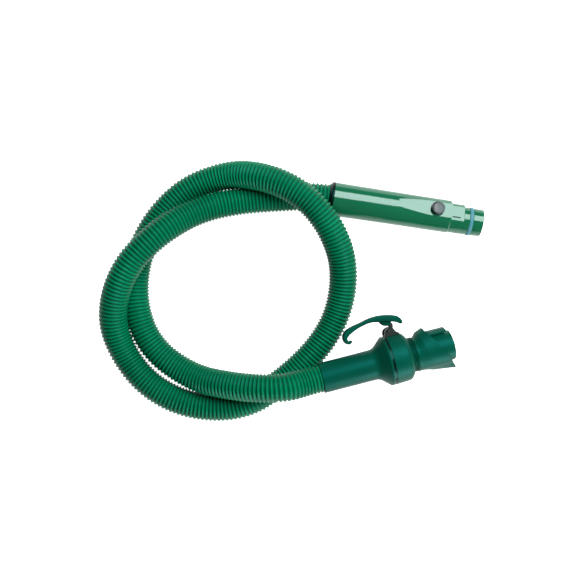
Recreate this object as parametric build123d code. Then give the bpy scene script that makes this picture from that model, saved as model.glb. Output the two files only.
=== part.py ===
from build123d import *
import os
from math import cos, sin, radians, sqrt

# Suction cleaner hose: corrugated hose, push-button hand tube and latched swivel connector.
# Millimetres, +Z up, floor at z = 0, hand tube axis along +X.

os.makedirs("parts", exist_ok=True)

# ---- hose -------------------------------------------------------------------
hose_od = 37.0
hose_wall = 1.6
# Route of the hose centreline, hand tube end first, every point set by hand.
hose_route = [
    (-109.3, 125.05, 24.4),
    (-131, 125.05, 24.4),
    (-172.5, 117, 22),
    (-240, 102, 20),
    (-298, 77.5, 34),
    (-343.5, 34, 60),
    (-380, -20, 61),
    (-393, -85, 39.5),
    (-374, -137.5, 18.7),
    (-328.5, -181.5, 18.7),
    (-264.5, -202.5, 18.7),
    (-187.5, -191.5, 18.7),
    (-137.5, -147.3, 18.7),
    (-93, -92, 18.7),
    (-70, -33, 19.5),
    (-73, 31, 36),
    (-100.5, 80.5, 58),
    (-144.5, 120, 63),
    (-201.5, 139, 52),
    (-261.5, 138.5, 20),
    (-324.5, 101.5, 18.7),
    (-367.5, 25, 18.7),
    (-368.5, -58, 18.7),
    (-332.5, -124, 18.7),
    (-264, -158, 24),
    (-208.5, -160, 47),
    (-164, -155.5, 61.5),
    (-129, -148.7, 61.5),
]

# ---- hand tube (own axis along X, x = 0 at the rear of the lock ring) --------
tube_at = (-111.25, 125.05, 24.4)
ring_length = 7.4
ring_radius = 24.4
grip_end = 175.3
collar_end = 194.1
tube_end = 222.5
grip_radius_rear = 24.0
grip_radius_mid = 23.3
grip_radius_front = 23.1
grip_bore = 21.3
collar_radius = 21.0
collar_y = -1.0
collar_z = -1.4
air_y = -2.2
air_z = -2.6
air_outer = 16.6
air_bore = 15.0
mouth_outer = 19.4
mouth_bore = 16.9
facet_turn = -18.0
facet_start = 99.0
facet_full = 143.0
facet_height = 20.4
facet_start_height = 22.6
plate_under = 18.8
facet_half_start = 5.9
facet_half = 11.2
button_x = 154.5
button_radius = 9.4
button_top = 27.3
button_travel = 2.2
catch_x = 173.4
catch_t = -6.6
slot_x0 = 177.5
slot_x1 = 188.6

# ---- connector (own axis along X, x = 0 at the hose end of the sleeve) -------
head_at = (-83.5, -129.82, 47.2)
head_yaw = 22.65
head_pitch = 5.6
sleeve_radius = 21.5
sleeve_length = 79.0
drum_radius = 35.4
cone_end = 96.4
seam_x = 100.0
drum_end = 131.0
spout_radius = 21.6
spout_end = 193.0
pivot_x = 108.7
pivot_y = 41.2
lever_width = 16.0


def around_x(points):
    """Solid of revolution about X from a closed outline of (x, radius) points."""
    with BuildPart() as made:
        with BuildSketch(Plane.XY):
            with BuildLine():
                Polyline(*points, close=True)
            make_face()
        revolve(axis=Axis.X)
    return made.part


def rod_x(x0, x1, radius, y=0.0, z=0.0):
    """Round bar along X from x0 to x1."""
    return Location(((x0 + x1) / 2, y, z), (0, 90, 0)) * Cylinder(radius, x1 - x0)


def pipe_x(x0, x1, outer, inner, y=0.0, z=0.0):
    """Plain pipe along X."""
    return rod_x(x0, x1, outer, y, z) - rod_x(x0 - 1, x1 + 1, inner, y, z)


def block(x0, x1, y0, y1, z0, z1):
    """Box from its low corner to its high corner."""
    size = (x1 - x0, y1 - y0, z1 - z0)
    middle = ((x0 + x1) / 2, (y0 + y1) / 2, (z0 + z1) / 2)
    return Location(middle) * Box(*size)


def coil(radius, wire, height, turns):
    """Round wire spring standing on z = 0 along Z."""
    path = Helix(height / turns, height, radius)
    start = Plane(origin=path @ 0, z_dir=path % 0)
    return sweep(start * Circle(wire / 2), path=path)


def save(shape, name):
    """Write one node as its own STEP file."""
    solids = shape.solids()
    body = solids[0] if len(solids) == 1 else Compound(children=list(solids))
    body.label = name
    export_step(body, "parts/" + name + ".step")
    box = shape.bounding_box()
    low = (round(box.min.X, 2), round(box.min.Y, 2), round(box.min.Z, 2))
    high = (round(box.max.X, 2), round(box.max.Y, 2), round(box.max.Z, 2))
    print(name, len(solids), round(shape.volume), low, high)


# =============================== hose ========================================
def corner_radii(points):
    """Bend radius of every corner: 0.45 x the shorter run / tan(half the turn)."""
    radii = []
    for before, here, after in zip(points, points[1:], points[2:]):
        first = Vector(*here) - Vector(*before)
        second = Vector(*after) - Vector(*here)
        turn = radians(first.get_angle(second))
        shorter = min(first.length, second.length)
        radii.append(0.45 * shorter / (sin(turn / 2) / cos(turn / 2)))
    return radii


# The last run leaves along the connector's own axis.
run_in = 25.0
flat = cos(radians(head_pitch))
head_axis = (flat * cos(radians(head_yaw)), flat * sin(radians(head_yaw)), -sin(radians(head_pitch)))
hose_route.append(tuple(head_at[k] - run_in * head_axis[k] for k in range(3)))
hose_route.append(head_at)
bends = corner_radii(hose_route)
print("bend radii", [round(r) for r in bends])
hose_path = FilletPolyline(*hose_route, radius=bends)
hose_start = Plane(origin=hose_path @ 0, z_dir=hose_path % 0)
hose_section = Circle(hose_od / 2) - Circle(hose_od / 2 - hose_wall)
hose = sweep(hose_start * hose_section, path=hose_path)
ring_area = 3.14159265 * ((hose_od / 2) ** 2 - (hose_od / 2 - hose_wall) ** 2)
print("hose length", round(hose_path.length, 1), "volume ratio", hose.volume / (ring_area * hose_path.length))
save(hose, "hose")

# =============================== hand tube ===================================
tube_place = Location(tube_at)
tilt = Location((0, 0, 0), (facet_turn, 0, 0))

hose_cuff = around_x([(1.95, 14.8), (1.95, 18.9), (5.6, 18.9), (5.6, 21.1), (8.4, 21.1), (8.4, 17.4),
                      (26, 17.4), (26, 14.8)])
hose_cuff -= pipe_x(19.0, 22.0, 18.0, 16.2)
save(tube_place * hose_cuff, "hose_cuff")

swivel_seal = pipe_x(19.0, 22.0, 17.3, 16.2)
save(tube_place * swivel_seal, "cuff_seal")

lock_ring = around_x([(0, 19.5), (0, 20.2), (4.4, 24.4), (5.0, 24.4), (5.0, 23.9), (5.4, 23.9), (5.4, 24.4),
                      (6.6, 24.4), (6.6, 23.9), (7.0, 23.9), (7.0, 24.4), (ring_length, 24.4),
                      (ring_length, 21.6), (5.2, 21.6), (5.2, 19.5)])
save(tube_place * lock_ring, "lock_ring")

# Grip outside, before it is opened up.
grip_outside = around_x([(ring_length, 0), (ring_length, grip_radius_rear), (60, 23.6), (100, grip_radius_mid),
                         (grip_end - 1.2, grip_radius_front), (grip_end, grip_radius_front - 1.2), (grip_end, 0)])
collar = rod_x(grip_end - 0.5, collar_end, collar_radius, collar_y, collar_z)
# Everything above the facet, in the tilted frame whose Z points out through the button.
above = Polyline((facet_start, facet_start_height), (facet_full, facet_height), (grip_end + 0.4, facet_height),
                 (grip_end + 0.4, 40), (facet_start, 40), close=True)
facet_cut = tilt * extrude(Plane.XZ * make_face(above), amount=20, both=True)
collar_flat = tilt * block(grip_end, collar_end + 1, -20, 20, 16.4, 40)
seat_outline = Polyline((facet_start, -facet_half_start), (facet_full, -facet_half), (grip_end + 1, -facet_half),
                        (grip_end + 1, facet_half), (facet_full, facet_half), (facet_start, facet_half_start),
                        close=True)
seat = tilt * Location((0, 0, plate_under)) * extrude(make_face(seat_outline), amount=12)
grip = grip_outside + (collar - collar_flat)
grip -= facet_cut
# Hollow inside, the neck for the cuff, and the way through for the air tube.
grip -= rod_x(11.0, 172.8, grip_bore)
grip -= rod_x(ring_length - 1, 8.9, 21.6)
grip -= rod_x(8.0, 12.0, 17.9)
grip -= rod_x(170.0, 200.0, air_outer, air_y, air_z)
grip -= seat
grip -= tilt * block(168.0, 189.6, catch_t - 2.9, catch_t + 2.9, 11.0, 14.8)
grip -= tilt * block(168.0, grip_end + 0.1, catch_t - 2.9, catch_t + 2.9, 14.0, plate_under + 0.1)
grip -= tilt * block(slot_x0, slot_x1, catch_t - 1.0, catch_t + 1.0, 13.0, 18.0)
save(tube_place * grip, "grip_shell")

# Flat cover plate with the button hole and two ears for the catch pin.
plate_outline = Polyline((facet_start, -facet_half_start), (facet_full, -facet_half), (grip_end, -facet_half),
                         (grip_end, facet_half), (facet_full, facet_half), (facet_start, facet_half_start),
                         close=True)
plate = tilt * Location((0, 0, plate_under)) * extrude(make_face(plate_outline), amount=10)
plate = plate & grip_outside
plate -= facet_cut
plate -= tilt * Location((button_x, 0, 20)) * Cylinder(9.8, 20)
for side in (-1, 1):
    ear_middle = catch_t + side * 2.35
    plate += tilt * block(catch_x - 1.8, grip_end, ear_middle - 0.5, ear_middle + 0.5, 13.6, plate_under + 0.2)
plate -= tilt * Location((catch_x, catch_t, 15.0), (90, 0, 0)) * Cylinder(0.9, 12)
save(tube_place * plate, "cover_plate")

# Air tube, with the groove for the mouth seal and a rounded mouth.
air_tube = around_x([(36, air_bore), (30, 16.0), (30, air_outer), (collar_end, air_outer), (collar_end, mouth_outer),
                     (202.5, mouth_outer), (202.5, 18.7), (208.0, 18.7), (208.0, mouth_outer),
                     (219.6, mouth_outer), (221.4, 18.6), (tube_end, 17.9), (tube_end, mouth_bore),
                     (198, mouth_bore), (190, air_bore)])
air_tube = Location((0, air_y, air_z)) * air_tube
save(tube_place * air_tube, "air_tube")

bulkhead = rod_x(28.0, 34.0, grip_bore) - rod_x(27, 35, air_outer, air_y, air_z)
save(tube_place * bulkhead, "rear_bulkhead")

mouth_seal = around_x([(202.5, 18.7), (202.5, 19.7), (203.6, 20.2), (206.9, 20.2), (208.0, 19.7), (208.0, 18.7)])
save(tube_place * Location((0, air_y, air_z)) * mouth_seal, "mouth_seal")

# Push button with a domed cap and a flange that keeps it under the plate.
button = around_x([(17.3, 0), (17.3, 10.7), (18.4, 10.7), (18.4, button_radius), (25.6, button_radius),
                   (26.6, 8.6), (27.1, 6.0), (button_top, 2.5), (button_top, 0)])
button = Location((0, 0, 0), (0, -90, 0)) * button
button -= Location((0, 0, 15.3)) * Cylinder(5.6, 8)
button -= block(1.7, 12, -12, -3.9, 10, 18.41)
save(tube_place * tilt * Location((button_x, 0, 0)) * button, "release_button")

spring_foot = 13.75
spring = coil(4.3, 0.55, 5.0, 3.5)
save(tube_place * tilt * Location((button_x, 0, spring_foot)) * spring, "button_spring")

# Catch lever: rear pad under the button flange, boss on the pin, nose up in the collar slot.
lever_side = Polyline((-21.4, 15.6), (-21.4, 16.95), (-3.4, 16.95), (-1.4, 16.6), (1.0, 16.2), (1.0, 14.3),
                      (4.5, 14.3), (4.5, 16.1), (14.4, 16.1), (14.7, 13.2), (3.0, 13.0), (0, 13.2),
                      (-2.4, 14.4), (-3.4, 15.6), close=True)
catch = extrude(Plane.XZ * make_face(lever_side), amount=0.65, both=True)
catch += block(-21.4, -3.0, -1.4, 1.4, 15.6, 16.95)
catch += Location((0, 0, 15.0), (90, 0, 0)) * Cylinder(1.75, 3.2)
catch -= Location((0, 0, 15.0), (90, 0, 0)) * Cylinder(1.05, 8)
save(tube_place * tilt * Location((catch_x, catch_t, 0)) * catch, "catch_lever")

catch_pin = tilt * Location((catch_x, catch_t, 15.0), (90, 0, 0)) * Cylinder(0.9, 5.7)
save(tube_place * catch_pin, "catch_pin")

# =============================== connector ===================================
head_place = Location(head_at) * Location((0, 0, 0), (0, 0, head_yaw)) * Location((0, 0, 0), (0, head_pitch, 0))

connector_cuff = pipe_x(0, 34, 19.0, 15.0)
save(head_place * connector_cuff, "connector_cuff")

sleeve = around_x([(0, 19.0), (0, 21.0), (0.6, sleeve_radius), (sleeve_length, 21.7), (sleeve_length, 19.3),
                   (34.5, 19.0)])
save(head_place * sleeve, "connector_sleeve")

# Flared bell at the end of the sleeve, from its waist out to the drum.
bell = around_x([(sleeve_length, 19.3), (sleeve_length, 21.7), (82.5, 23.4), (85.4, 26.2), (88.4, 29.4), (91.4, 32.6),
                 (94.2, 34.7), (cone_end, drum_radius), (98.4, drum_radius), (98.4, 33.0), (93.0, 31.0), (84.5, 22.6)])
save(head_place * bell, "sleeve_bell")

hub = around_x([(34, 15.4), (34, 17.2), (95.6, 17.2), (95.6, 31.8), (98.4, 32.8), (98.4, 27.8), (107.2, 27.8),
                (107.2, 30.2), (109.4, 30.2), (109.4, 26.2), (100.0, 26.2), (100.0, 17.2), (112.0, 17.2),
                (112.0, 16.4), (113.6, 16.4), (113.6, 17.2), (115.5, 17.2), (115.5, 15.4)])
hub -= rod_x(30, 120, 15.4)
save(head_place * hub, "swivel_hub")

band = pipe_x(98.4, 101.1, 34.9, 27.8)
save(head_place * band, "seam_band")

swivel_ring = pipe_x(112.0, 113.6, 18.0, 16.4)
save(head_place * swivel_ring, "swivel_seal")

dome = around_x([(101.5, 28.2), (101.5, drum_radius), (121.0, drum_radius), (124.5, 34.8), (127.2, 33.2),
                 (129.3, 30.6), (130.5, 27.6), (drum_end, 24.4), (drum_end, spout_radius),
                 (128.4, spout_radius), (128.2, 25.5), (126.4, 29.4), (123.6, 32.0), (120.0, 33.0),
                 (106.6, 33.0), (106.6, 28.2)])
save(head_place * dome, "dome_shell")

# Ribbed neck between the dome and the shroud.
neck_points = [(drum_end, spout_radius), (drum_end, 23.2)]
for k in range(3):
    rib_x = drum_end + 0.8 + 2.3 * k
    neck_points += [(rib_x, 23.2), (rib_x + 0.2, 24.8), (rib_x + 1.0, 24.8), (rib_x + 1.2, 23.2)]
neck_points += [(138.0, 23.2), (138.0, spout_radius)]
neck = around_x(neck_points)
save(head_place * neck, "neck_rings")

spout = around_x([(110.6, 18.5), (110.6, 19.6), (126.0, 19.6), (127.0, spout_radius), (spout_end - 1.6, spout_radius),
                  (spout_end, spout_radius - 1.2), (spout_end, 19.4), (130.0, 19.4), (126.0, 18.5)])
save(head_place * spout, "spout_tube")


def oval(x, low, high, half_height):
    """Oval section across the connector axis from y = low to y = high."""
    place = Plane(origin=(x, (low + high) / 2, 0), x_dir=(0, 1, 0), z_dir=(1, 0, 0))
    return place * Ellipse((high - low) / 2, half_height)


# Flared shroud around the spout, cut on the slant from the latch side down to the pointed wing.
shroud_wall = 2.0
flare_x = 156.0
outside = loft([oval(138.0, -26.3, 23.4, 24.0), oval(flare_x, -28.9, 30.6, 25.2)], ruled=True)
outside += loft([oval(flare_x, -28.9, 30.6, 25.2), oval(195.0, -33.9, 34.0, 26.2)], ruled=True)
inside = loft([oval(140.0, -24.6, 22.4, 22.2), oval(flare_x, -26.9, 28.6, 23.2)], ruled=True)
inside += loft([oval(flare_x, -26.9, 28.6, 23.2), oval(196.0, -31.9, 32.0, 24.2)], ruled=True)
slant = Polyline((156.3, 40.0), (156.3, 30.6), (192.2, -33.6), (192.2, -45), (230, -45), (230, 40), close=True)
slant_cut = Location((0, 0, -40)) * extrude(make_face(slant), amount=80)
shroud = outside - inside - slant_cut - rod_x(130, 200, spout_radius)
shroud = shroud.solids().sort_by(SortBy.VOLUME)[-1]
save(head_place * shroud, "spout_shroud")

# Square-ended tongue on the latch side, carried on two webs.
tongue = pipe_x(161.0, 186.6, 27.8, 25.8) & block(150, 190, 15, 40, -15.0, 15.0)
for side in (-1, 1):
    web = block(160.0, 184.0, 10, 26.2, side * 10.0 - 0.9, side * 10.0 + 0.9)
    web += block(149.0, 161.5, 10, 22.4, side * 10.0 - 0.9, side * 10.0 + 0.9)
    tongue += web - rod_x(140, 200, spout_radius)
tongue -= block(140, 190, -40, 14, -40, 40)
save(head_place * tongue, "spout_tongue")

# Latch bracket: two cheeks on the dome, a pin, a wound spring and the double-hooked lever.
cheek_outline = Polyline((pivot_x - 7.4, 34.2), (pivot_x - 7.3, 39.5), (pivot_x - 5.6, 43.4), (pivot_x - 1.5, 45.9),
                         (pivot_x + 3.4, 46.4), (pivot_x + 6.6, 44.0), (pivot_x + 8.4, 40.0),
                         (pivot_x + 11.4, 37.0), (pivot_x + 13.6, 35.4), (pivot_x + 13.6, 30), (pivot_x - 7.4, 30),
                         close=True)
cheek = make_face(cheek_outline)
bracket = Location((0, 0, 6.6)) * extrude(cheek, amount=3.0)
bracket += Location((0, 0, -9.6)) * extrude(cheek, amount=3.0)
bracket += block(pivot_x - 7.4, pivot_x + 13.6, 33, 36.2, -9.6, 9.6)
bracket -= rod_x(90, 130, drum_radius)
bracket -= Location((pivot_x, pivot_y, 0)) * Cylinder(1.5, 30)
save(head_place * bracket, "latch_bracket")

latch_pin = Location((pivot_x, pivot_y, 0)) * Cylinder(1.5, 20.4)
latch_pin += Location((pivot_x, pivot_y, 10.4)) * Cylinder(2.5, 1.0)
save(head_place * latch_pin, "latch_pin")

spring_wire = 0.8
latch_spring = Location((pivot_x, pivot_y, 3.4)) * coil(2.35, spring_wire, 2.7, 2.5)
save(head_place * latch_spring, "latch_spring")

lever_bar = Polyline((42.9, 46.1), (45.0, 52.9), (49.6, 56.9), (57.8, 59.9), (73.2, 62.9), (88.7, 66.2),
                     (96.1, 66.5), (103.3, 65.8), (111.6, 63.9), (121.1, 61.0), (128.8, 56.4), (131.5, 52.7),
                     (132.1, 50.4), (130.3, 47.9), (126.6, 45.2), (125.3, 48.5), (123.7, 50.8), (114.7, 53.1),
                     (100.5, 55.1), (86.5, 57.7), (74.4, 56.1), (63.2, 52.7), (54.7, 48.2), (50.0, 43.9),
                     (50.1, 41.4), (53.9, 42.1), (55.0, 40.8), (53.2, 37.6), (50.0, 35.5), (45.9, 36.6),
                     (43.6, 40.1), close=True)
lever = Location((0, 0, -lever_width / 2)) * extrude(make_face(lever_bar), amount=lever_width)
# Boss under the bar and the leg that runs down to the pivot.
boss = Polyline((100.6, 56.0), (102.5, 51.4), (106.3, 48.9), (110.5, 48.1), (113.9, 49.9), (113.9, 56.0), close=True)
lever += Location((0, 0, -5.0)) * extrude(make_face(boss), amount=10.0)
leg = Polyline((108.0, 54.5), (114.6, 54.0), (117.2, 50.0), (117.4, 46.2), (115.0, 42.4), (pivot_x + 2.0, pivot_y - 2.6),
               (pivot_x - 1.0, pivot_y + 3.2), (111.8, 47.2), (111.6, 50.4), close=True)
lever += Location((0, 0, -6.2)) * extrude(make_face(leg), amount=9.0)
lever += Location((pivot_x, pivot_y, -1.7)) * Cylinder(3.6, 9.0)
lever -= Location((pivot_x, pivot_y, 0)) * Cylinder(1.6, 40)
save(head_place * lever, "latch_lever")
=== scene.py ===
import math
import bpy
import numpy as np
from mathutils import Matrix


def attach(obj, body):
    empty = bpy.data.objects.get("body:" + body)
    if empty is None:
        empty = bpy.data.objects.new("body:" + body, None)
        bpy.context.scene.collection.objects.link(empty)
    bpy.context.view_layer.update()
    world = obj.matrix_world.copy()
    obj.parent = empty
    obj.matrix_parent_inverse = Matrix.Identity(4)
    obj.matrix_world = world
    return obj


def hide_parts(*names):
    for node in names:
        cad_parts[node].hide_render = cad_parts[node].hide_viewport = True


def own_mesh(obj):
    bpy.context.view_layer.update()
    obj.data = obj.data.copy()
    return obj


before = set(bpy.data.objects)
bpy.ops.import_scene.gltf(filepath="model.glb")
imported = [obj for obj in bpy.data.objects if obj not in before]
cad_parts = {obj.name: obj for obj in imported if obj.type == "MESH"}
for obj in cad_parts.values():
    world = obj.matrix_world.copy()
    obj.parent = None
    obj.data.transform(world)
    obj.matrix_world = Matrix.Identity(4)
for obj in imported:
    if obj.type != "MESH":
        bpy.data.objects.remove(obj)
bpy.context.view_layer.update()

bl_info = {
    "name": "Suction hose with hand tube and swivel connector",
    "version": (1, 0, 0),
    "blender": (4, 5, 0),
    "location": "3D View > Sidebar > Suction Hose",
    "description": "Builds the corrugated hose, its hand tube, its latched connector and the studio round them",
    "category": "Add Mesh",
}

# ---- frames of the two fittings, in metres -----------------------------------
MM = 0.001
TUBE_AT = np.array([-111.25, 125.05, 24.4]) * MM
HEAD_AT = np.array([-83.5, -129.82, 47.2]) * MM
FACET_TURN = math.radians(18.0)
HEAD_YAW = math.radians(22.65)
HEAD_PITCH = math.radians(5.6)

TUBE_AXES = np.eye(3)
FACET_AXES = np.array([
    [1.0, 0.0, 0.0],
    [0.0, math.cos(FACET_TURN), -math.sin(FACET_TURN)],
    [0.0, math.sin(FACET_TURN), math.cos(FACET_TURN)],
])
HEAD_AXES = np.array([
    [math.cos(HEAD_PITCH) * math.cos(HEAD_YAW), math.cos(HEAD_PITCH) * math.sin(HEAD_YAW), -math.sin(HEAD_PITCH)],
    [-math.sin(HEAD_YAW), math.cos(HEAD_YAW), 0.0],
    [math.sin(HEAD_PITCH) * math.cos(HEAD_YAW), math.sin(HEAD_PITCH) * math.sin(HEAD_YAW), math.cos(HEAD_PITCH)],
])


def placed(points, origin, axes):
    """Points in a fitting's own frame, in millimetres, taken to the row frame: origin + x, y, z along its axes."""
    return origin + (np.asarray(points, float) * MM) @ axes


# ---- settings ----------------------------------------------------------------
class HoseSettings(bpy.types.PropertyGroup):
    crest: bpy.props.FloatProperty(name="Rib crest radius", description="Radius over the rib tops",
                                   default=0.0201, subtype="DISTANCE", unit="LENGTH")
    valley: bpy.props.FloatProperty(name="Rib valley radius", description="Radius in the grooves between ribs",
                                    default=0.0178, subtype="DISTANCE", unit="LENGTH")
    pitch: bpy.props.FloatProperty(name="Rib pitch", description="Distance from one rib to the next",
                                   default=0.00535, subtype="DISTANCE", unit="LENGTH")
    bore: bpy.props.FloatProperty(name="Bore radius", description="Radius of the air way",
                                  default=0.0160, subtype="DISTANCE", unit="LENGTH")
    colour: bpy.props.FloatVectorProperty(name="Hose colour", description="Body colour of the flexible hose",
                                          default=(0.0002, 0.150, 0.066), subtype="COLOR", size=3, min=0, max=1)


class HandTubeSettings(bpy.types.PropertyGroup):
    colour: bpy.props.FloatVectorProperty(name="Grip colour", description="Body colour of the glossy hand tube",
                                          default=(0.0045, 0.100, 0.044), subtype="COLOR", size=3, min=0, max=1)
    seal: bpy.props.FloatVectorProperty(name="Seal colour", description="Colour of the mouth seal",
                                        default=(0.04, 0.20, 0.24), subtype="COLOR", size=3, min=0, max=1)
    button: bpy.props.FloatVectorProperty(name="Button colour", description="Colour of the push button",
                                          default=(0.035, 0.060, 0.065), subtype="COLOR", size=3, min=0, max=1)


class ConnectorSettings(bpy.types.PropertyGroup):
    colour: bpy.props.FloatVectorProperty(name="Connector colour", description="Body colour of the satin connector",
                                          default=(0.0002, 0.050, 0.030), subtype="COLOR", size=3, min=0, max=1)
    latch: bpy.props.FloatVectorProperty(name="Latch colour", description="Colour of the latch lever",
                                         default=(0.0003, 0.048, 0.026), subtype="COLOR", size=3, min=0, max=1)


class StageSettings(bpy.types.PropertyGroup):
    floor: bpy.props.FloatVectorProperty(name="Floor colour", description="Colour of the plain floor",
                                         default=(0.90, 0.90, 0.90), subtype="COLOR", size=3, min=0, max=1)
    key: bpy.props.FloatProperty(name="Softbox power", description="Power of the long softbox over the hand tube",
                                 default=74.0, unit="POWER")
    fill: bpy.props.FloatProperty(name="Fill power", description="Power of the low soft fill",
                                  default=30.0, unit="POWER")
    sky: bpy.props.FloatProperty(name="Room light", description="Strength of the even light of the room",
                                 default=0.10)
    glow: bpy.props.FloatProperty(name="Floor glow", description="Light that the backlit floor throws back",
                                  default=0.38)
    height: bpy.props.FloatProperty(name="Camera height", description="Height of the camera over the floor",
                                    default=1.240, subtype="DISTANCE", unit="LENGTH")
    lens: bpy.props.FloatProperty(name="Lens", description="Focal length on a 36 mm sensor", default=52.57,
                                  subtype="DISTANCE_CAMERA", unit="CAMERA")


# ---- surfaces ----------------------------------------------------------------
def skin(name, grid, body, stands_for=(), wrap=True, turn=38.0):
    """A mesh from a grid of points whose second direction runs round the piece and closes.

    The first direction closes too when wrap is set; otherwise flat caps close both ends. Faces that look
    inwards, told by the signed volume under them, are turned over.
    """
    rows, columns = grid.shape[:2]
    index = np.arange(rows * columns).reshape(rows, columns)
    ahead = np.roll(index, -1, axis=0)
    if not wrap:
        index, ahead = index[:-1], ahead[:-1]
    quads = np.stack([index, ahead, np.roll(ahead, -1, axis=1), np.roll(index, -1, axis=1)], axis=-1).reshape(-1, 4)
    points = grid.reshape(-1, 3)
    a, b, c, d = (points[quads[:, k]] for k in range(4))
    volume = np.sum(np.cross(a, b) * c) + np.sum(np.cross(a, c) * d)
    last = np.arange(rows * columns).reshape(rows, columns)
    caps = [] if wrap else [last[0].copy(), last[-1][::-1].copy()]
    if volume < 0:
        quads = quads[:, ::-1]
        caps = [cap[::-1] for cap in caps]
    faces = quads.tolist() + [cap.tolist() for cap in caps]
    mesh = bpy.data.meshes.new(name)
    mesh.from_pydata(points.tolist(), [], faces)
    mesh.validate()
    mesh.shade_smooth()
    mesh.set_sharp_from_angle(angle=math.radians(turn))
    piece = bpy.data.objects.new(name, mesh)
    bpy.context.scene.collection.objects.link(piece)
    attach(piece, body)
    if stands_for:
        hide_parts(*stands_for)
    return piece


def softened(outline, radius, steps=4):
    """Closed outline whose corners are eased.

    Each corner P becomes the parabola (1-q)^2 A + 2q(1-q) P + q^2 B between the points A and B that lie the
    radius away from it along its two sides, or 0.45 of the shorter side where that is less.
    """
    corner = np.asarray(outline, float)
    before = np.roll(corner, 1, axis=0) - corner
    after = np.roll(corner, -1, axis=0) - corner
    reach_before = np.linalg.norm(before, axis=1, keepdims=True)
    reach_after = np.linalg.norm(after, axis=1, keepdims=True)
    wanted = np.broadcast_to(np.reshape(radius, (-1, 1)), reach_before.shape)
    reach = np.minimum(wanted, 0.45 * np.minimum(reach_before, reach_after))
    start = corner + before / reach_before * reach
    end = corner + after / reach_after * reach
    q = np.linspace(0.0, 1.0, steps + 1)[None, :, None]
    arcs = (1 - q) ** 2 * start[:, None] + 2 * q * (1 - q) * corner[:, None] + q ** 2 * end[:, None]
    return arcs.reshape(-1, corner.shape[1])


def lathe(outline, around=128):
    """Closed outline of (along, radius) carried round the axis: (x, r) becomes (x, r cos a, r sin a)."""
    outline = np.asarray(outline, float)
    angle = np.linspace(0.0, 2 * np.pi, around, endpoint=False)
    along = np.repeat(outline[:, :1], around, axis=1)
    return np.stack([along, outline[:, 1:] * np.cos(angle), outline[:, 1:] * np.sin(angle)], axis=-1)


def smoothed(outline, steps=6):
    """Closed outline through the given points: a Catmull-Rom curve, h(q) weights of four neighbouring points."""
    here = np.asarray(outline, float)
    before, after, next_after = np.roll(here, 1, 0), np.roll(here, -1, 0), np.roll(here, -2, 0)
    q = np.linspace(0.0, 1.0, steps, endpoint=False)[None, :, None]
    curve = 0.5 * (2 * here[:, None] + (after - before)[:, None] * q
                   + (2 * before - 5 * here + 4 * after - next_after)[:, None] * q ** 2
                   + (3 * here - before - 3 * after + next_after)[:, None] * q ** 3)
    return curve.reshape(-1, here.shape[1])


def slab(outline, low, high, ease, steps=5):
    """Closed flat outline (x, y) carried up z from low to high, its two rims rounded.

    At height z the outline is drawn in along its own normals by ease (1 - cos a), with z = low + ease (1 - sin a)
    near the bottom and the same mirrored near the top.
    """
    outline = np.asarray(outline, float)
    along = np.roll(outline, -1, 0) - np.roll(outline, 1, 0)
    along /= np.linalg.norm(along, axis=1, keepdims=True)
    area = np.sum(outline[:, 0] * np.roll(outline[:, 1], -1) - outline[:, 1] * np.roll(outline[:, 0], -1))
    outward = np.stack([along[:, 1], -along[:, 0]], axis=1) * np.sign(area)
    angle = np.linspace(0.0, np.pi / 2, steps + 1)
    inset = ease * (1 - np.sin(angle))
    rise = ease * (1 - np.cos(angle))
    heights = np.concatenate([low + rise, high - rise[::-1]])
    insets = np.concatenate([inset, inset[::-1]])
    flat = outline[None] - insets[:, None, None] * outward[None]
    tall = np.broadcast_to(heights[:, None, None], flat.shape[:2] + (1,))
    return np.concatenate([flat, tall], axis=-1)


# ---- material kit ------------------------------------------------------------
def add(tree, kind, **values):
    """One shader node, with its settings and socket values set by name (a space is written as _)."""
    node = tree.nodes.new(kind)
    for key, value in values.items():
        socket = node.inputs.get(key.replace("_", " "))
        if socket is not None and not hasattr(node, key):
            socket.default_value = value
        else:
            setattr(node, key, value)
    return node


def join(tree, *pairs):
    """Wires given as (output socket, input socket)."""
    for source, target in pairs:
        tree.links.new(source, target)


def ramp(tree, source, stops):
    """Colour ramp fed by a value; stops are (position, colour)."""
    node = tree.nodes.new("ShaderNodeValToRGB")
    elements = node.color_ramp.elements
    while len(elements) < len(stops):
        elements.new(0.5)
    for element, (place, colour) in zip(elements, stops):
        element.position = place
        element.color = (*colour, 1.0) if len(colour) == 3 else colour
    tree.links.new(source, node.inputs["Fac"])
    return node


def spread(tree, source, low, high, out_low, out_high):
    """Map Range from low..high to out_low..out_high, clamped."""
    node = add(tree, "ShaderNodeMapRange", From_Min=low, From_Max=high, To_Min=out_low, To_Max=out_high)
    tree.links.new(source, node.inputs["Value"])
    return node.outputs["Result"]


def mixed(tree, share, one, other):
    """Colour mix of two colours or sockets by a share socket."""
    node = tree.nodes.new("ShaderNodeMix")
    node.data_type = "RGBA"
    for value, socket in ((one, node.inputs[6]), (other, node.inputs[7])):
        if isinstance(value, (tuple, list)):
            socket.default_value = (*value, 1.0)
        else:
            tree.links.new(value, socket)
    tree.links.new(share, node.inputs[0])
    return node.outputs[2]


def reckon(tree, operation, one, other=None):
    """Math node on sockets or plain numbers."""
    node = tree.nodes.new("ShaderNodeMath")
    node.operation = operation
    for value, socket in ((one, node.inputs[0]), (other, node.inputs[1])):
        if value is None:
            continue
        if isinstance(value, (int, float)):
            socket.default_value = value
        else:
            tree.links.new(value, socket)
    return node.outputs[0]


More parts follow.
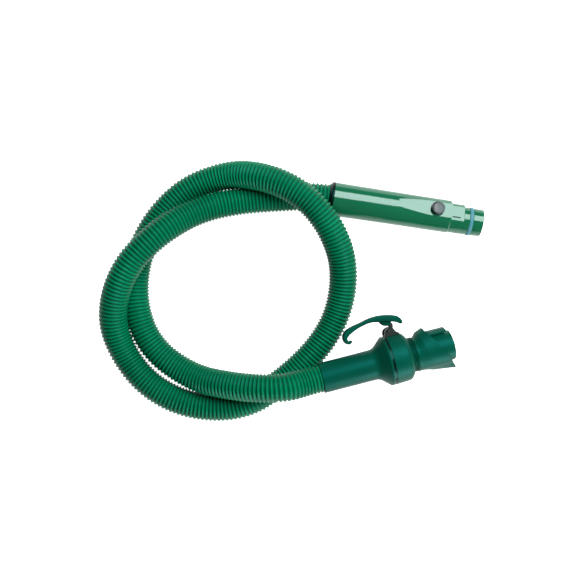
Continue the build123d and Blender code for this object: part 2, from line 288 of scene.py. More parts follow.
def group(name, inputs, outputs):
    """Empty shader group with float or vector inputs and float outputs; returns the tree and its two end nodes."""
    tree = bpy.data.node_groups.new(name, "ShaderNodeTree")
    for title, kind, value in inputs:
        socket = tree.interface.new_socket(name=title, in_out="INPUT", socket_type=kind)
        if value is not None:
            socket.default_value = value
    for title in outputs:
        tree.interface.new_socket(name=title, in_out="OUTPUT", socket_type="NodeSocketFloat")
    return tree, tree.nodes.new("NodeGroupInput"), tree.nodes.new("NodeGroupOutput")


def make_wear_group():
    """Handling marks: fine scratches in two directions, broken up by larger patches, and rubbed patches."""
    tree, given, result = group(
        "Handling marks",
        [("Vector", "NodeSocketVector", None), ("Scratch size", "NodeSocketFloat", 900.0),
         ("Amount", "NodeSocketFloat", 0.5)],
        ["Scratches", "Rubbed"])
    lines = []
    for turn, seed in ((0.5, 0.0), (-0.9, 3.0)):
        turned = add(tree, "ShaderNodeMapping", Rotation=(0.2, 0.1, turn), Scale=(0.06, 1.0, 1.0),
                     Location=(seed, seed, 0.0))
        streaks = add(tree, "ShaderNodeTexNoise", Detail=3.0, Roughness=0.6)
        join(tree, (given.outputs["Vector"], turned.inputs["Vector"]), (turned.outputs[0], streaks.inputs["Vector"]),
             (given.outputs["Scratch size"], streaks.inputs["Scale"]))
        lines.append(spread(tree, streaks.outputs["Fac"], 0.66, 0.72, 0.0, 1.0))
    patches = add(tree, "ShaderNodeTexNoise", Scale=38.0, Detail=4.0, Roughness=0.62)
    join(tree, (given.outputs["Vector"], patches.inputs["Vector"]))
    broken = spread(tree, patches.outputs["Fac"], 0.45, 0.68, 0.0, 1.0)
    both = reckon(tree, "MAXIMUM", lines[0], lines[1])
    scratches = reckon(tree, "MULTIPLY", both, broken)
    join(tree, (reckon(tree, "MULTIPLY", scratches, given.outputs["Amount"]), result.inputs["Scratches"]),
         (reckon(tree, "MULTIPLY", broken, given.outputs["Amount"]), result.inputs["Rubbed"]))
    return tree


def make_grain_group():
    """Moulded skin: a slow drift of tone and a fine even grain for a Bump node."""
    tree, given, result = group(
        "Moulded skin",
        [("Vector", "NodeSocketVector", None), ("Grain size", "NodeSocketFloat", 1400.0)],
        ["Tone", "Grain"])
    drift = add(tree, "ShaderNodeTexNoise", Scale=14.0, Detail=3.0, Roughness=0.5)
    grain = add(tree, "ShaderNodeTexNoise", Detail=2.0, Roughness=0.55)
    join(tree, (given.outputs["Vector"], drift.inputs["Vector"]), (given.outputs["Vector"], grain.inputs["Vector"]),
         (given.outputs["Grain size"], grain.inputs["Scale"]))
    join(tree, (spread(tree, drift.outputs["Fac"], 0.3, 0.7, 0.0, 1.0), result.inputs["Tone"]),
         (grain.outputs["Fac"], result.inputs["Grain"]))
    return tree


def make_dust_group():
    """Dust: specks and a thin film, more of it in soft patches."""
    tree, given, result = group(
        "Dust film",
        [("Vector", "NodeSocketVector", None), ("Speck size", "NodeSocketFloat", 700.0),
         ("Amount", "NodeSocketFloat", 0.3)],
        ["Dust"])
    specks = add(tree, "ShaderNodeTexVoronoi", Randomness=1.0)
    film = add(tree, "ShaderNodeTexNoise", Scale=60.0, Detail=5.0, Roughness=0.7)
    join(tree, (given.outputs["Vector"], specks.inputs["Vector"]), (given.outputs["Vector"], film.inputs["Vector"]),
         (given.outputs["Speck size"], specks.inputs["Scale"]))
    dots = spread(tree, specks.outputs["Distance"], 0.10, 0.16, 1.0, 0.0)
    veil = spread(tree, film.outputs["Fac"], 0.40, 0.75, 0.0, 1.0)
    both = reckon(tree, "MAXIMUM", reckon(tree, "MULTIPLY", dots, veil), reckon(tree, "MULTIPLY", veil, 0.45))
    join(tree, (reckon(tree, "MULTIPLY", both, given.outputs["Amount"]), result.inputs["Dust"]))
    return tree


def place_group(tree, group_tree, vector, **values):
    """A shared group in a material, with its own values."""
    node = tree.nodes.new("ShaderNodeGroup")
    node.node_tree = group_tree
    for key, value in values.items():
        node.inputs[key.replace("_", " ")].default_value = value
    tree.links.new(vector, node.inputs["Vector"])
    return node


def shared(name, maker):
    """A node group made once and then found by name."""
    return bpy.data.node_groups.get(name) or maker()


def blank_material(name, **values):
    """New material with a Principled shader; values are set on its sockets."""
    material = bpy.data.materials.new(name)
    material.use_nodes = True
    tree = material.node_tree
    shader = tree.nodes["Principled BSDF"]
    for key, value in values.items():
        shader.inputs[key.replace("_", " ")].default_value = value
    where = tree.nodes.new("ShaderNodeTexCoord").outputs["Object"]
    return material, tree, shader, where


def moulded_plastic(name, deep, pale, rough, marks, dust, grain_bump, grain_size=1400.0, **values):
    """Moulded plastic: tone drift from deep to pale, rubbed and scratched patches, a film of dust, a fine grain."""
    material, tree, shader, where = blank_material(name, **values)
    skin_group = place_group(tree, shared("Moulded skin", make_grain_group), where, Grain_size=grain_size)
    wear_group = place_group(tree, shared("Handling marks", make_wear_group), where, Amount=marks)
    dust_group = place_group(tree, shared("Dust film", make_dust_group), where, Amount=dust)
    body = mixed(tree, skin_group.outputs["Tone"], deep, pale)
    rubbed = mixed(tree, reckon(tree, "MULTIPLY", wear_group.outputs["Scratches"], 0.35), body,
                   tuple(min(1.0, 1.6 * c + 0.05) for c in pale))
    dusty = mixed(tree, dust_group.outputs["Dust"], rubbed, (0.42, 0.46, 0.42))
    join(tree, (dusty, shader.inputs["Base Color"]))
    worn = reckon(tree, "MULTIPLY_ADD", wear_group.outputs["Rubbed"], 0.12)
    worn.node.inputs[2].default_value = rough
    rougher = reckon(tree, "MULTIPLY_ADD", dust_group.outputs["Dust"], 0.4)
    join(tree, (worn, rougher.node.inputs[2]), (rougher, shader.inputs["Roughness"]))
    height = reckon(tree, "SUBTRACT", reckon(tree, "MULTIPLY", skin_group.outputs["Grain"], 0.5),
                    reckon(tree, "MULTIPLY", wear_group.outputs["Scratches"], 0.8))
    bump = add(tree, "ShaderNodeBump", Strength=grain_bump, Distance=0.0002)
    join(tree, (height, bump.inputs["Height"]), (bump.outputs["Normal"], shader.inputs["Normal"]))
    return material


def scaled(colour, share):
    """A colour made darker or lighter by a share."""
    return tuple(min(1.0, c * share) for c in colour)


def dress(objects, material):
    """The material on every slot of the given objects."""
    for piece in objects:
        piece.data.materials.clear()
        piece.data.materials.append(material)


def nodes_named(*names):
    return [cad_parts[name] for name in names]


# ---- camera ------------------------------------------------------------------
class HOSEKIT_OT_camera(bpy.types.Operator):
    """Camera straight over the object"""
    bl_idname = "hosekit.camera"
    bl_label = "Camera"

    def execute(self, context):
        stage = context.scene.hosekit_stage
        data = bpy.data.cameras.new("camera")
        data.lens = stage.lens
        data.sensor_width = 36.0
        data.clip_end = 20.0
        camera = bpy.data.objects.new("camera", data)
        camera.location = (-0.14565, -0.01365, stage.height)
        camera.rotation_euler = (0.0, 0.0, math.radians(8.7))
        context.scene.collection.objects.link(camera)
        context.scene.camera = camera
        return {"FINISHED"}


# ---- hose --------------------------------------------------------------------
HOSE_ROUTE = [
    (-109.3, 125.05, 24.4), (-131, 125.05, 24.4), (-172.5, 117, 22), (-240, 102, 20), (-298, 77.5, 34),
    (-343.5, 34, 60), (-380, -20, 61), (-392.5, -85, 39.5), (-373, -136.8, 20), (-327.8, -180.3, 20),
    (-264.2, -201.6, 20), (-187.5, -191.5, 20), (-137.5, -147.3, 20), (-93, -92, 20),
    (-70, -33, 20), (-73, 31, 36), (-100.5, 80.5, 58), (-144.5, 120, 63), (-201.5, 139, 52),
    (-261.5, 138.5, 20), (-324.5, 101.5, 20), (-367.5, 25, 20), (-368.5, -58, 20),
    (-333.8, -125, 20.5), (-265.2, -159.6, 24.5), (-208.5, -160, 47), (-164, -155.5, 61.5), (-129, -148.7, 61.5),
    (-106.46, -139.4, 49.64), (-83.5, -129.82, 47.2),
]


def route_line():
    """The hose's centreline: a NURBS spline through the route, read back as a line of points."""
    curve = bpy.data.curves.new("hose_line", "CURVE")
    curve.dimensions = "3D"
    curve.resolution_u = 24
    spline = curve.splines.new("NURBS")
    spline.points.add(len(HOSE_ROUTE) - 1)
    control = np.c_[np.array(HOSE_ROUTE) * MM, np.ones(len(HOSE_ROUTE))]
    spline.points.foreach_set("co", control.astype(np.float32).ravel())
    spline.order_u = 3
    spline.use_endpoint_u = True
    holder = bpy.data.objects.new("hose_line", curve)
    bpy.context.scene.collection.objects.link(holder)
    bpy.context.view_layer.update()
    read = bpy.data.meshes.new_from_object(holder)
    line = np.zeros(len(read.vertices) * 3, np.float32)
    read.vertices.foreach_get("co", line)
    bpy.data.objects.remove(holder)
    bpy.data.meshes.remove(read)
    bpy.data.curves.remove(curve)
    line = line.reshape(-1, 3).astype(float)
    moved = np.r_[True, np.linalg.norm(np.diff(line, axis=0), axis=1) > 1e-7]
    return line[moved]


def even_stations(line, stations):
    """Points on the line at the given distances along it, with the way it runs there."""
    run = np.r_[0.0, np.cumsum(np.linalg.norm(np.diff(line, axis=0), axis=1))]
    ways = np.gradient(line, run, axis=0)
    ways /= np.linalg.norm(ways, axis=1, keepdims=True)
    point = np.stack([np.interp(stations, run, line[:, k]) for k in range(3)], axis=1)
    way = np.stack([np.interp(stations, run, ways[:, k]) for k in range(3)], axis=1)
    return point, way / np.linalg.norm(way, axis=1, keepdims=True)


def eased_ways(way, reach):
    """Directions averaged with their neighbours up to reach stations away, cosine-weighted, then made unit long."""
    weight = 0.5 + 0.5 * np.cos(np.linspace(-np.pi, np.pi, 2 * reach + 3)[1:-1])
    padded = np.concatenate([np.repeat(way[:1], reach, axis=0), way, np.repeat(way[-1:], reach, axis=0)])
    eased = np.stack([np.convolve(padded[:, k], weight / weight.sum(), mode="valid") for k in range(3)], axis=1)
    turned = np.sum(eased * way, axis=1, keepdims=True) < 0.5
    eased = np.where(turned, way, eased)
    return eased / np.linalg.norm(eased, axis=1, keepdims=True)


class HOSEKIT_OT_hose(bpy.types.Operator):
    """Corrugated hose along its route"""
    bl_idname = "hosekit.hose"
    bl_label = "Corrugated hose"

    def execute(self, context):
        """The tube's point at distance s and angle a is the centreline at s plus r(s) (side cos a + up sin a).

        r(s) swings between valley and crest once a pitch, with broad crests and narrow valleys; the inner
        wall is plain, and the two ends join the walls.
        """
        hose = context.scene.hosekit_hose
        line = route_line()
        length = float(np.sum(np.linalg.norm(np.diff(line, axis=0), axis=1)))
        ribs = round(length / hose.pitch)
        per_rib, around = 8, 36
        phase = np.arange(ribs * per_rib + 1) / per_rib
        swing = (0.5 - 0.5 * np.cos(2 * np.pi * phase)) ** 0.9
        outer = np.stack([phase / ribs * length, hose.valley + (hose.crest - hose.valley) * swing], axis=1)
        inner_run = np.linspace(length, 0.0, 400)
        inner = np.stack([inner_run, np.full(400, hose.bore)], axis=1)
        profile = np.concatenate([outer, inner])
        point, way = even_stations(line, profile[:, 0])
        way = eased_ways(way, 28)
        side = np.cross(way, (0.0, 0.0, 1.0))
        side /= np.linalg.norm(side, axis=1, keepdims=True)
        up = np.cross(side, way)
        angle = np.linspace(0.0, 2 * np.pi, around, endpoint=False)
        ring = side[:, None] * np.cos(angle)[None, :, None] + up[:, None] * np.sin(angle)[None, :, None]
        grid = point[:, None] + profile[:, 1, None, None] * ring
        piece = skin("hose_corrugated", grid, "hose_body", ["hose"], turn=180.0)
        # The rib value, 0 in the valleys and 1 on the crests, drives the painted shade in the grooves and the rubbed
        # crests.
        rib = np.concatenate([np.repeat(swing, around), np.zeros(len(inner) * around)]).astype(np.float32)
        worn = piece.data.attributes.new("rib", "FLOAT", "POINT")
        worn.data.foreach_set("value", rib)
        steps, _ = even_stations(line, np.linspace(0.0, length, 360))
        dress([piece], hose_material(tuple(hose.colour)))
        return {"FINISHED"}


def hose_material(colour):
    """Flexible hose plastic: brighter rubbed crests, painted shade darkening the grooves, and slow tone drift."""
    material, tree, shader, where = blank_material("hose plastic", IOR=1.33, Specular_IOR_Level=0.30,
                                                     Specular_Tint=(0.2, 0.95, 0.95, 1.0))
    skin_group = place_group(tree, shared("Moulded skin", make_grain_group), where, Grain_size=2200.0)
    wear_group = place_group(tree, shared("Handling marks", make_wear_group), where, Amount=0.6)
    rib = add(tree, "ShaderNodeAttribute", attribute_name="rib").outputs["Fac"]
    tone = mixed(tree, skin_group.outputs["Tone"], scaled(colour, 0.85), scaled(colour, 1.15))
    # Painted shade: the grooves between ribs are darkened by the rib value, to 0.4 of the colour in the valleys.
    painted_groove_shade = ramp(tree, rib, [(0.0, (0.40, 0.40, 0.40)), (0.40, (0.80, 0.80, 0.80)), (1.0, (1.0, 1.0, 1.0))])
    shade = tree.nodes.new("ShaderNodeMix")
    shade.data_type = "RGBA"
    shade.blend_type = "MULTIPLY"
    shade.inputs[0].default_value = 1.0
    join(tree, (tone, shade.inputs[6]), (painted_groove_shade.outputs["Color"], shade.inputs[7]))
    crest = spread(tree, rib, 0.85, 1.0, 0.0, 0.22)
    rubbed = mixed(tree, reckon(tree, "MULTIPLY", crest, wear_group.outputs["Rubbed"]), shade.outputs[2],
                   scaled(colour, 1.9))
    join(tree, (rubbed, shader.inputs["Base Color"]))
    join(tree, (spread(tree, wear_group.outputs["Rubbed"], 0.0, 1.0, 0.36, 0.48), shader.inputs["Roughness"]))
    bump = add(tree, "ShaderNodeBump", Strength=0.15, Distance=0.0002)
    join(tree, (skin_group.outputs["Grain"], bump.inputs["Height"]),
         (bump.outputs["Normal"], shader.inputs["Normal"]))
    return material


# ---- hand tube ---------------------------------------------------------------
MOUTH_AT = np.array([0.0, -2.2, -2.6])
BUTTON_X = 154.5
CAP_HEIGHT = 26.6


class HOSEKIT_OT_hand_tube(bpy.types.Operator):
    """Glossy hand tube with its collar, cover plate and mouth"""
    bl_idname = "hosekit.hand_tube"
    bl_label = "Hand tube"

    def execute(self, context):
        """The mouth is an outline carried round its own axis; the grip, collar and plate are the CAD pieces."""
        tube = context.scene.hosekit_tube
        green = tuple(tube.colour)
        gloss = moulded_plastic("gloss green plastic", scaled(green, 0.94), scaled(green, 1.08), 0.10, 0.20, 0.005,
                                0.03, IOR=1.5, Specular_Tint=(0.80, 1.0, 1.0, 1.0))
        mouth_line = softened(
            [(36, 15.0), (30, 16.0), (30, 16.55), (194.0, 16.55), (194.0, 19.4), (202.4, 19.4), (202.5, 18.7),
             (208.0, 18.7), (208.1, 19.4), (222.5, 19.4), (222.5, 16.9), (198, 16.9), (190, 15.0)],
            [0.1, 0.1, 0.1, 0.1, 0.6, 0.35, 0.1, 0.1, 0.35, 2.4, 0.9, 2.0, 2.0], 6)
        mouth = skin("mouth_tube", placed(lathe(mouth_line) + MOUTH_AT, TUBE_AT, TUBE_AXES), "hand_tube",
                     ["air_tube"])
        dress([mouth, *nodes_named("grip_shell", "cover_plate", "rear_bulkhead")], gloss)
        return {"FINISHED"}


class HOSEKIT_OT_rings(bpy.types.Operator):
    """Lock ring, cuffs and seals of both fittings"""
    bl_idname = "hosekit.rings"
    bl_label = "Rings and seals"

    def execute(self, context):
        """Each ring is a rounded outline carried round its axis."""
        tube = context.scene.hosekit_tube
        dark = moulded_plastic("dark green black plastic", (0.0012, 0.006, 0.0045), (0.002, 0.010, 0.0075), 0.25,
                               0.4, 0.02, 0.08, IOR=1.5, Specular_IOR_Level=0.15, Specular_Tint=(0.2, 1.0, 0.9, 1.0))
        ring_line = softened(
            [(0, 19.5), (0, 20.2), (4.2, 24.4), (4.9, 24.4), (5.05, 23.7), (5.35, 23.7), (5.5, 24.4), (6.5, 24.4),
             (6.6, 23.8), (6.95, 23.8), (7.0, 24.4), (7.4, 24.4), (7.4, 21.6), (5.2, 21.6), (5.2, 19.5)],
            [0.3, 0.5, 1.3, 0.15, 0.1, 0.1, 0.15, 0.15, 0.1, 0.1, 0.1, 0.2, 0.1, 0.1, 0.2], 4)
        ring = skin("lock_ring_turned", placed(lathe(ring_line), TUBE_AT, TUBE_AXES), "hand_tube",
                    ["lock_ring"])
        dress([ring, *nodes_named("hose_cuff", "connector_cuff", "seam_band", "catch_lever")], dark)
        rubber = moulded_plastic("black seal rubber", (0.006, 0.006, 0.006), (0.012, 0.012, 0.012), 0.6, 0.3, 0.05,
                                 0.2)
        dress(nodes_named("cuff_seal", "swivel_seal"), rubber)
        blue = moulded_plastic("blue seal rubber", scaled(tube.seal, 0.9), scaled(tube.seal, 1.1), 0.5, 0.3, 0.03,
                               0.15, Specular_IOR_Level=0.3)
        seal_line = softened([(202.6, 18.6), (202.6, 19.7), (203.6, 20.2), (206.9, 20.2), (207.9, 19.7),
                              (207.9, 18.6)], [0.1, 0.5, 0.5, 0.5, 0.5, 0.1], 4)
        seal = skin("mouth_seal_ring", placed(lathe(seal_line) + MOUTH_AT, TUBE_AT, TUBE_AXES), "hand_tube",
                    ["mouth_seal"])
        dress([seal], blue)
        return {"FINISHED"}


def coil_grid(radius, wire, foot, height, turns, steps=170, around=10):
    """Round wire wound on a cylinder: the wire's middle is (r cos a, r sin a, foot + h a / a_end)."""
    share = np.linspace(0.0, 1.0, steps)[:, None]
    angle = 2 * np.pi * turns * share
    bend = np.linspace(0.0, 2 * np.pi, around, endpoint=False)[None]
    reach = radius + wire / 2 * np.cos(bend)
    tall = foot + height * share + wire / 2 * np.sin(bend)
    return np.stack([BUTTON_X + reach * np.cos(angle), reach * np.sin(angle), tall], axis=-1)


class HOSEKIT_OT_button(bpy.types.Operator):
    """Push button with its scratched face painted with highlight and shade, and the steel springs and pins"""
    bl_idname = "hosekit.button"
    bl_label = "Push button"

    def execute(self, context):
        """The button's spring is a wound wire; the rest are CAD pieces."""
        tube = context.scene.hosekit_tube
        cap_middle = placed((BUTTON_X, 0.0, CAP_HEIGHT), TUBE_AT, FACET_AXES)
        dress(nodes_named("release_button"), worn_button_with_painted_light(tuple(tube.button), cap_middle))
        steel = moulded_plastic("spring steel", (0.35, 0.35, 0.36), (0.5, 0.5, 0.5), 0.25, 0.5, 0.03, 0.1,
                                Metallic=1.0)
        wound = coil_grid(radius=4.3, wire=0.55, foot=13.75, height=5.0, turns=3.5)
        coil = skin("button_coil", placed(wound, TUBE_AT, FACET_AXES), "hand_tube",
                    ["button_spring"], wrap=False)
        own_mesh(coil)
        dress([coil, *nodes_named("catch_pin", "latch_spring")], steel)
        dark_pin = moulded_plastic("blackened steel", (0.010, 0.014, 0.013), (0.02, 0.026, 0.024), 0.3, 0.5, 0.03,
                                   0.1, Metallic=0.6)
        dress(nodes_named("latch_pin"), dark_pin)
        return {"FINISHED"}


def worn_button_with_painted_light(colour, middle):
    """Button plastic: sides painted dark as shade, and a cap painted pale as a highlight, more so on the side
    towards the mouth.
    """
    material, tree, shader, where = blank_material("button plastic", IOR=1.5, Specular_IOR_Level=0.4)
    wear_group = place_group(tree, shared("Handling marks", make_wear_group), where, Amount=0.8)
    skin_group = place_group(tree, shared("Moulded skin", make_grain_group), where, Grain_size=1800.0)
    local = add(tree, "ShaderNodeMapping", vector_type="POINT", Location=tuple(-middle))
    join(tree, (where, local.inputs["Vector"]))
    parts = tree.nodes.new("ShaderNodeSeparateXYZ")
    join(tree, (local.outputs[0], parts.inputs[0]))
    # Painted highlight and shade: the cap top, most on the mouth side, is painted pale; the sides and the far half
    # are painted dark.
    side = spread(tree, parts.outputs["X"], -0.0055, 0.0010, 0.0, 1.0)
    top = spread(tree, parts.outputs["Z"], -0.0045, -0.0022, 0.0, 1.0)
    rubbed = reckon(tree, "MULTIPLY", side, top)
    blotchy = reckon(tree, "MULTIPLY", rubbed, spread(tree, skin_group.outputs["Tone"], 0.0, 1.0, 0.7, 1.0))
    face = mixed(tree, blotchy, scaled(colour, 0.35), scaled(colour, 1.0))
    marked = mixed(tree, reckon(tree, "MULTIPLY", wear_group.outputs["Scratches"], 0.6), face, scaled(colour, 1.6))
    join(tree, (marked, shader.inputs["Base Color"]))
    join(tree, (spread(tree, blotchy, 0.0, 1.0, 0.25, 0.5), shader.inputs["Roughness"]))
    bump = add(tree, "ShaderNodeBump", Strength=0.12, Distance=0.0002)
    join(tree, (skin_group.outputs["Grain"], bump.inputs["Height"]),
         (bump.outputs["Normal"], shader.inputs["Normal"]))
    return material


# ---- connector ---------------------------------------------------------------
def on_head(grid):
    return placed(grid, HEAD_AT, HEAD_AXES)


NECK_END = 138.2
CUT_FROM, CUT_SIDE, CUT_SLOPE = 156.3, 30.6, 0.559
SHROUD_WALL, SPOUT_CLEAR = 1.8, 21.75


def shroud_grid():
    """Flared shroud round the spout, cut on the slant.

    At bearing b the radius is that of an ellipse, drawn out towards a flat wing w cos(b - 95 degrees) on the wing's
    side, both growing from the neck to the cut. Along the spout x = x_neck + u (x_cut - x_neck), with u from 0 to 1
    and x_cut = CUT_FROM + (CUT_SIDE - y) CUT_SLOPE. The inner half is drawn in by the wall, and a lip joins them.
    """
    u = np.concatenate([np.linspace(0.0, 0.42, 12), np.linspace(0.46, 1.0, 18)])
    bearing = np.radians([0, 12, 24, 36, 48, 58, 65, 68, 71, 76, 81, 84, 86, 89, 92, 95, 98, 101, 105, 110,
                          116, 124, 134, 146, 160, 175, 190, 205, 220, 235, 248, 260, 272, 284, 296, 308, 320, 332, 346])
    flare = np.interp(u, (0.0, 0.10, 0.42, 1.0), (0.0, 0.03, 0.62, 1.0))[:, None]
    side = np.sin(bearing)[None]
    crest = np.cos(bearing)[None]
    half_up = 24.0 + 2.4 * flare
    half_latch = 23.6 + 10.4 * flare
    half_wing = 24.6 + 9.3 * flare
    half_side = np.where(side > 0, 25.2 + 1.6 * flare, half_latch)
    rounding = 1.0 / np.sqrt((crest / half_up) ** 2 + (side / half_side) ** 2)
    lean = np.degrees(bearing)[None]
    to_tip = np.interp(lean, (66, 93, 97, 126), (0.0, 1.0, 1.0, 0.0))
    wing = half_wing * np.cos(np.radians(np.clip(np.abs(lean - 95.0), 0, 31)))
    reach = rounding + to_tip * (wing - rounding) * flare
    y = -reach * side
    z = reach * crest
    x_end = CUT_FROM + (CUT_SIDE - np.clip(y, -40, CUT_SIDE)) * CUT_SLOPE
    x = NECK_END + u[:, None] * (x_end - NECK_END)
    outside = np.stack([x, y, z], axis=-1)
    inner_reach = np.maximum(reach - SHROUD_WALL, SPOUT_CLEAR)
    inside = np.stack([x, -inner_reach * side, inner_reach * crest], axis=-1)
    lip = 0.5 * (outside[-1:] + inside[-1:]) + np.array([0.55, 0.0, 0.0])
    return np.concatenate([outside, lip, inside[::-1]])


LEVER_BAR = [(53.8, 40.9, 1.1), (52.2, 39.0, 1.9), (49.0, 38.9, 2.4), (46.7, 41.5, 2.7), (46.2, 45.6, 3.0),
             (48.0, 49.6, 3.7), (52.4, 53.1, 4.1), (60.5, 56.5, 3.6), (73.8, 59.8, 2.8), (87.4, 62.0, 3.5),
             (100.8, 61.0, 4.7), (112.6, 58.9, 4.9), (121.8, 56.0, 4.6), (126.6, 52.9, 3.8), (128.7, 49.9, 2.7),
             (128.8, 47.2, 1.3)]


def bar_grid(line, half_width, ease, steps=9, around=6):
    """Rounded-rectangle section carried along a smooth line of (x, y, half thickness) in the connector's plane.

    At each station the section is a rounded rectangle of half sizes t and w, laid along the line's normal.
    """
    line = np.asarray(line, float)
    ghost = np.concatenate([2 * line[:1] - line[1:2], line, 2 * line[-1:] - line[-2:-1]])
    q = np.linspace(0.0, 1.0, steps, endpoint=False)[:, None]
    p0, p1, p2, p3 = (ghost[k:len(ghost) - 3 + k, None] for k in range(4))
    curve = 0.5 * (2 * p1 + (p2 - p0) * q + (2 * p0 - 5 * p1 + 4 * p2 - p3) * q ** 2
                   + (3 * p1 - p0 - 3 * p2 + p3) * q ** 3)
    curve = np.concatenate([curve.reshape(-1, 3), line[-1:]])
    way = np.gradient(curve[:, :2], axis=0)
    way /= np.linalg.norm(way, axis=1, keepdims=True)
    normal = np.stack([-way[:, 1], way[:, 0]], axis=1)
    bend = np.radians(np.linspace(0.0, 90.0, around))
    round_off = np.minimum(ease, curve[:, 2] * 0.75)[:, None]
    quarter_t = curve[:, 2:3] - round_off + round_off * np.cos(bend)
    quarter_z = half_width - round_off + round_off * np.sin(bend)
    across = np.concatenate([quarter_t, -quarter_t[:, ::-1], -quarter_t, quarter_t[:, ::-1]], axis=1)
    tall = np.concatenate([quarter_z, quarter_z[:, ::-1], -quarter_z, -quarter_z[:, ::-1]], axis=1)
    flat = curve[:, None, :2] + across[..., None] * normal[:, None]
    return np.concatenate([flat, tall[..., None]], axis=-1)


LEVER_BOSS = [(100.2, 57.0), (101.9, 52.0), (105.8, 49.3), (110.3, 48.4), (114.2, 50.2), (114.6, 57.0)]
LEVER_LEG = [(107.6, 55.0), (113.9, 54.6), (116.8, 51.0), (117.5, 46.6), (115.6, 42.8), (112.4, 38.9),
             (108.9, 37.5), (105.7, 39.2), (105.2, 42.6), (107.6, 44.8), (110.6, 45.9), (111.6, 48.6), (110.2, 50.6)]


class HOSEKIT_OT_connector(bpy.types.Operator):
    """Satin connector: sleeve with its cone, dome, ribbed neck, spout and shroud"""
    bl_idname = "hosekit.connector"
    bl_label = "Connector"

    def execute(self, context):
        """Sleeve, dome, neck and spout are rounded outlines carried round the connector's axis."""
        settings = context.scene.hosekit_connector
        green = tuple(settings.colour)
        satin = moulded_plastic("satin green plastic", scaled(green, 0.9), scaled(green, 1.12), 0.42, 0.35, 0.005,
                                0.05, IOR=1.5, Specular_IOR_Level=0.17, Specular_Tint=(0.05, 0.95, 0.95, 1.0))
        sleeve_line = softened(
            [(0, 19.1), (0, 21.5), (80.5, 21.7), (95.6, 35.2), (98.3, 35.2), (98.4, 33.0), (93.0, 31.0),
             (84.0, 22.6), (76.0, 19.4), (34.5, 19.1)],
            [0.3, 0.9, 6.0, 1.6, 0.5, 0.5, 1.0, 1.0, 1.0, 1.0], 9)
        sleeve = skin("sleeve_turned", on_head(lathe(sleeve_line)), "hose_body",
                      ["connector_sleeve", "sleeve_bell"])
        dome_line = softened(
            [(101.5, 28.2), (101.5, 35.2), (125.6, 34.2), (131.2, 25.4), (131.2, 21.65), (128.4, 21.65),
             (128.2, 25.5), (123.0, 32.0), (106.6, 33.0), (106.6, 28.2)],
            [0.2, 0.5, 4.5, 1.0, 0.3, 0.3, 1.0, 1.0, 1.0, 0.3], 9)
        dome = skin("dome_turned", on_head(lathe(dome_line)), "connector_head", ["dome_shell"])
        ribs = [(131.2 + 2.3 * k + dx, r) for k in range(3)
                for dx, r in ((0.3, 22.8), (0.55, 24.7), (1.45, 24.7), (1.7, 22.8))]
        neck_line = softened([(131.0, 21.65), (131.0, 22.8), *ribs, (138.4, 22.8), (138.4, 21.65)], 0.35, 3)
        neck = skin("neck_turned", on_head(lathe(neck_line)), "connector_head", ["neck_rings"])
        spout_line = softened(
            [(110.6, 18.5), (110.6, 20), (126.0, 20), (127.0, 21.6), (193.0, 21.6), (193.0, 19.4), (130.0, 19.4),
             (126.0, 18.5)], [0.2, 0.2, 0.5, 0.5, 1.8, 0.5, 1.0, 1.0], 6)
        spout = skin("spout_turned", on_head(lathe(spout_line)), "connector_head", ["spout_tube"])
        shroud = skin("shroud_flared", on_head(shroud_grid()), "connector_head", ["spout_shroud"],
                      turn=24.0)
        dress([sleeve, dome, neck, spout, shroud, *nodes_named("swivel_hub", "spout_tongue")], satin)
        return {"FINISHED"}


class HOSEKIT_OT_latch(bpy.types.Operator):
    """Latch lever with its hooks, boss and leg, and the bracket"""
    bl_idname = "hosekit.latch"
    bl_label = "Latch lever"

    def execute(self, context):
        """The bar is a rounded section carried along its length; boss and leg are outlines carried across."""
        latch = tuple(context.scene.hosekit_connector.latch)
        finish = moulded_plastic("latch green plastic", scaled(latch, 0.85), scaled(latch, 1.15), 0.40, 0.45,
                                 0.005, 0.06, IOR=1.5, Specular_IOR_Level=0.18, Specular_Tint=(0.1, 0.95, 0.9, 1.0))
        bar = skin("latch_bar", on_head(bar_grid(LEVER_BAR, 7.4, 1.6)), "latch",
                   ["latch_lever"], wrap=False)
        boss = skin("latch_boss", on_head(slab(smoothed(LEVER_BOSS), -4.5, 4.5, 1.2)), "latch",
                    wrap=False)
        leg = skin("latch_leg", on_head(slab(smoothed(LEVER_LEG), -5.6, 2.6, 1.0)), "latch",
                   wrap=False)
        dress([bar, boss], finish)
        shade = moulded_plastic("latch black plastic", (0.0008, 0.006, 0.004), (0.0015, 0.012, 0.008), 0.28, 0.4,
                                0.02, 0.06, IOR=1.5, Specular_IOR_Level=0.3)
        dress([leg, *nodes_named("latch_bracket")], shade)
        return {"FINISHED"}


# ---- stage -------------------------------------------------------------------
def softbox(name, place, target, width, length, power, colour=(1.0, 1.0, 1.0)):
    """Rectangular light at a place, turned to face a target."""
    data = bpy.data.lights.new(name, "AREA")
    data.shape = "RECTANGLE"
    data.size = width
    data.size_y = length
    data.energy = power
    data.color = colour
    lamp = bpy.data.objects.new(name, data)
    way = np.array(target, float) - np.array(place, float)
    way /= np.linalg.norm(way)
    across = np.array([1.0, 0.0, 0.0])
    across -= way * np.dot(across, way)
    across /= np.linalg.norm(across)
    upward = np.cross(-way, across)
    lamp.matrix_world = Matrix([[across[k], upward[k], -way[k], place[k]] for k in range(3)] + [[0, 0, 0, 1]])
    lamp.visible_camera = False
    bpy.context.scene.collection.objects.link(lamp)
    return lamp


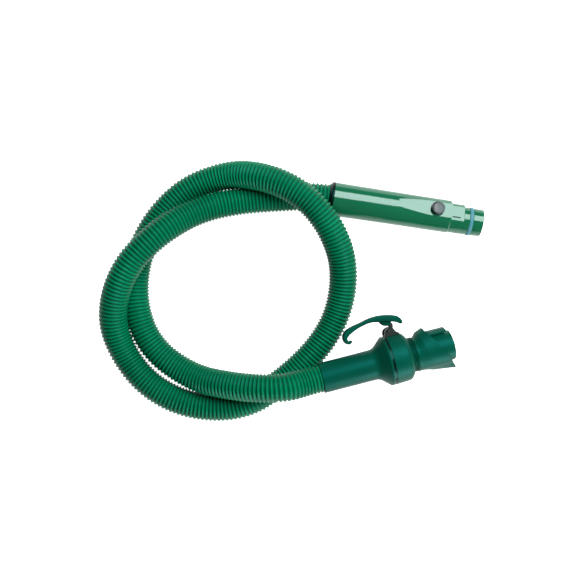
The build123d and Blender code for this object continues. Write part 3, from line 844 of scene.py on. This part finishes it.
class HOSEKIT_OT_stage(bpy.types.Operator):
    """Plain pale floor and soft studio light"""
    bl_idname = "hosekit.stage"
    bl_label = "Stage"

    def execute(self, context):
        stage = context.scene.hosekit_stage
        side = np.array([-4.0, 4.0])
        corner = np.stack(np.meshgrid(side, side), axis=-1).reshape(-1, 2)
        points = np.c_[corner, np.full(4, -0.0006)]
        mesh = bpy.data.meshes.new("floor")
        mesh.from_pydata(points.tolist(), [], [(0, 1, 3, 2)])
        floor = bpy.data.objects.new("floor", mesh)
        context.scene.collection.objects.link(floor)
        material, tree, shader, where = blank_material("floor paper", Roughness=0.7)
        veil = add(tree, "ShaderNodeTexNoise", Scale=3.0, Detail=2.0)
        join(tree, (where, veil.inputs["Vector"]))
        join(tree, (mixed(tree, veil.outputs["Fac"], scaled(stage.floor, 0.995), tuple(stage.floor)),
                    shader.inputs["Base Color"]))
        shader.inputs["Emission Color"].default_value = (1.0, 1.0, 1.0, 1.0)
        seen = tree.nodes.new("ShaderNodeLightPath").outputs["Is Camera Ray"]
        join(tree, (spread(tree, seen, 0.0, 1.0, stage.glow, 1.0), shader.inputs["Emission Strength"]))
        dress([floor], material)
        context.scene.view_settings.view_transform = "Standard"
        softbox("softbox", (0.45, 1.15, 1.70), (0.45, 0.12, 0.02), 1.2, 1.62, stage.key)
        softbox("window", (1.05, -1.30, 0.50), (0.0, -0.05, 0.03), 0.95, 0.9, stage.fill)
        world = bpy.data.worlds.new("room")
        world.use_nodes = True
        world.node_tree.nodes["Background"].inputs["Color"].default_value = (1.0, 1.0, 1.0, 1.0)
        world.node_tree.nodes["Background"].inputs["Strength"].default_value = stage.sky
        context.scene.world = world
        return {"FINISHED"}


# ---- panel and registration --------------------------------------------------
STEPS = (HOSEKIT_OT_camera, HOSEKIT_OT_hose, HOSEKIT_OT_hand_tube, HOSEKIT_OT_rings, HOSEKIT_OT_button,
         HOSEKIT_OT_connector, HOSEKIT_OT_latch, HOSEKIT_OT_stage)
SETTINGS = {
    "hosekit_hose": HoseSettings,
    "hosekit_tube": HandTubeSettings,
    "hosekit_connector": ConnectorSettings,
    "hosekit_stage": StageSettings,
}


class HOSEKIT_PT_panel(bpy.types.Panel):
    """Lists the steps and their settings"""
    bl_idname = "HOSEKIT_PT_panel"
    bl_label = "Suction Hose"
    bl_space_type = "VIEW_3D"
    bl_region_type = "UI"
    bl_category = "Suction Hose"

    def draw(self, context):
        for step in STEPS:
            self.layout.operator(step.bl_idname)
        for name in SETTINGS:
            settings = getattr(context.scene, name)
            box = self.layout.box()
            for key in settings.__annotations__:
                box.prop(settings, key)


def register():
    for kind in (*SETTINGS.values(), *STEPS, HOSEKIT_PT_panel):
        bpy.utils.register_class(kind)
    for name, kind in SETTINGS.items():
        setattr(bpy.types.Scene, name, bpy.props.PointerProperty(type=kind))


def unregister():
    for name in SETTINGS:
        delattr(bpy.types.Scene, name)
    for kind in reversed((*SETTINGS.values(), *STEPS, HOSEKIT_PT_panel)):
        bpy.utils.unregister_class(kind)


def main():
    register()
    for step in STEPS:
        family, action = step.bl_idname.split(".")
        getattr(getattr(bpy.ops, family), action)()


if __name__ == "__main__":
    main()
